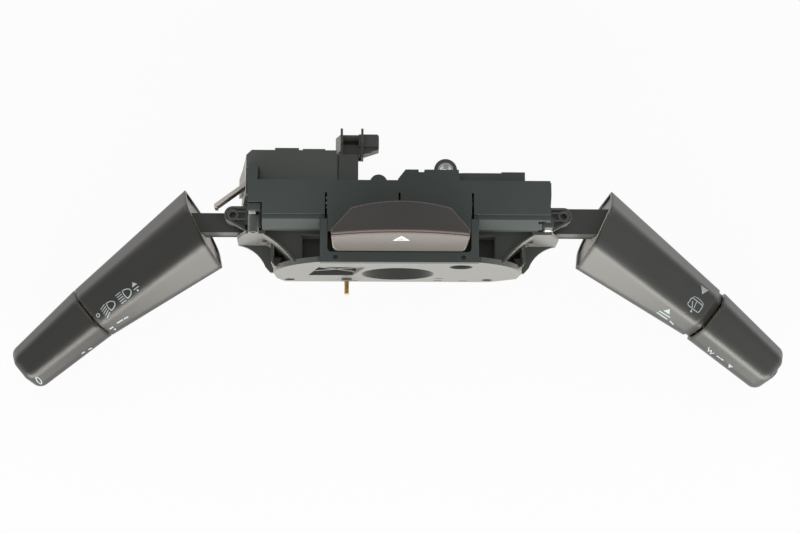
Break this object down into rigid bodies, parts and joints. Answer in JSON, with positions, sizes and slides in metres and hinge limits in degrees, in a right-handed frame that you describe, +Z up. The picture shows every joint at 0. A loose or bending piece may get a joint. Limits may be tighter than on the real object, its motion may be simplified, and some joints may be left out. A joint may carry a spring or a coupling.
{
  "type": "combination stalk switch",
  "caption": "Steering column switch: a moulded carrier round the column bore, two swept stalks with rotary knobs, a tall hazard button on top and a rear connector block.",
  "frame": {"origin": "centre of the column bore in the plane of the driver's face", "axes": "+X to the driver's right, +Y forward along the steering column, +Z up"},
  "size_m": [0.3729, 0.1187, 0.086],
  "materials": {
    "housing_plastic": "fine-grained matte dark grey",
    "cover_plastic": "fine-grained matte dark grey",
    "case_plastic": "moulded mid grey",
    "stalk_plastic": "soft-sheen near black",
    "plate_plastic": "matte dark grey",
    "button_plastic": "soft-sheen near black",
    "red_lens": "red translucent layer",
    "connector_plastic": "matte dark grey",
    "board": "coated board",
    "ribbon": "pale flat cable",
    "steel": "zinc-plated",
    "brass": "turned brass"
  },
  "bodies": {
    "housing": {"base_frame": "housing_plastic", "top_cover": "cover_plastic", "hazard_frame": "cover_plastic", "connector_block": "connector_plastic", "connector_terminals": "brass", "loom_clip": "connector_plastic", "lug_bush": "steel", "hazard_springs": "steel", "horn_sleeve": "case_plastic", "horn_pin_spring": "steel", "cancel_pin": "steel", "case_screws": "steel", "left_switch_case": "case_plastic", "right_switch_case": "case_plastic", "circuit_board": "board", "left_ribbon_cable": "ribbon", "left_yoke_axle": "steel", "right_yoke_axle": "steel", "left_detent_track": "case_plastic", "right_detent_track": "case_plastic"},
    "hazard_button_body": {"hazard_button": "button_plastic", "hazard_lens": "red_lens", "hazard_cap": "button_plastic"},
    "horn_contact": {"horn_pin": "brass"},
    "pawl": {"cancel_pawl": "case_plastic"},
    "right_end_push": {"right_end_button": "button_plastic"},
    "left_tilt_body": {"left_yoke": "case_plastic", "left_pivot_pin": "steel", "left_detent_plunger": "case_plastic", "left_detent_spring": "steel"},
    "left_lever_body": {"left_lever_arm": "plate_plastic", "left_casing": "stalk_plastic", "left_end_plate": "plate_plastic"},
    "left_knob_body": {"left_knob": "stalk_plastic", "left_knob_shaft": "steel", "left_contact_disc": "brass"},
    "right_tilt_body": {"right_yoke": "case_plastic", "right_pivot_pin": "steel", "right_detent_plunger": "case_plastic", "right_detent_spring": "steel"},
    "right_lever_body": {"right_lever_arm": "plate_plastic", "right_casing": "stalk_plastic", "right_end_plate": "plate_plastic"},
    "right_knob_body": {"right_knob": "stalk_plastic", "right_knob_shaft": "steel", "right_contact_disc": "brass", "right_end_button_spring": "steel"}
  },
  "joints": [
    {"name": "left_lever_tilt", "type": "hinge", "parent": "housing", "child": "left_tilt_body", "pos_m": [-0.058, 0.0259, 0.005], "axis": [0, 1, 0], "range_deg": [-8, 8]},
    {"name": "left_lever_pull", "type": "hinge", "parent": "left_tilt_body", "child": "left_lever_body", "pos_m": [-0.0782, 0.0248, 0.005], "axis": [0, 0, 1], "range_deg": [-3, 7], "stiffness_Nm_per_rad": 2},
    {"name": "left_knob_turn", "type": "hinge", "parent": "left_lever_body", "child": "left_knob_body", "pos_m": [-0.14557, -0.01831, -0.00432], "axis": [-0.7544, -0.6375, -0.1564], "range_deg": [-30, 30]},
    {"name": "right_lever_tilt", "type": "hinge", "parent": "housing", "child": "right_tilt_body", "pos_m": [0.058, 0.0259, 0.005], "axis": [0, -1, 0], "range_deg": [-8, 8]},
    {"name": "right_lever_pull", "type": "hinge", "parent": "right_tilt_body", "child": "right_lever_body", "pos_m": [0.0782, 0.0248, 0.005], "axis": [0, 0, -1], "range_deg": [-3, 7], "stiffness_Nm_per_rad": 2},
    {"name": "right_knob_turn", "type": "hinge", "parent": "right_lever_body", "child": "right_knob_body", "pos_m": [0.14744, -0.01726, -0.00432], "axis": [0.7621, -0.6282, -0.1564], "range_deg": [-30, 30]},
    {"name": "right_end_button_press", "type": "slide", "parent": "right_knob_body", "child": "right_end_push", "axis": [-0.7621, 0.6282, 0.1564], "range_m": [0, 0.001], "stiffness_N_per_m": 500, "springref_m": -0.001, "deforming": ["right_end_button_spring"]},
    {"name": "hazard_button_press", "type": "slide", "parent": "housing", "child": "hazard_button_body", "axis": [0, 0, -1], "range_m": [0, 0.004], "stiffness_N_per_m": 900, "springref_m": -0.003, "deforming": ["hazard_springs"]},
    {"name": "horn_contact_press", "type": "slide", "parent": "housing", "child": "horn_contact", "axis": [0, 1, 0], "range_m": [0, 0.004], "stiffness_N_per_m": 300, "springref_m": -0.002, "deforming": ["horn_pin_spring"]},
    {"name": "cancel_pawl_swing", "type": "hinge", "parent": "housing", "child": "pawl", "pos_m": [-0.03, 0.0065, 0.0076], "axis": [0, 1, 0], "range_deg": [-10, 10], "stiffness_Nm_per_rad": 0.03}
  ]
}
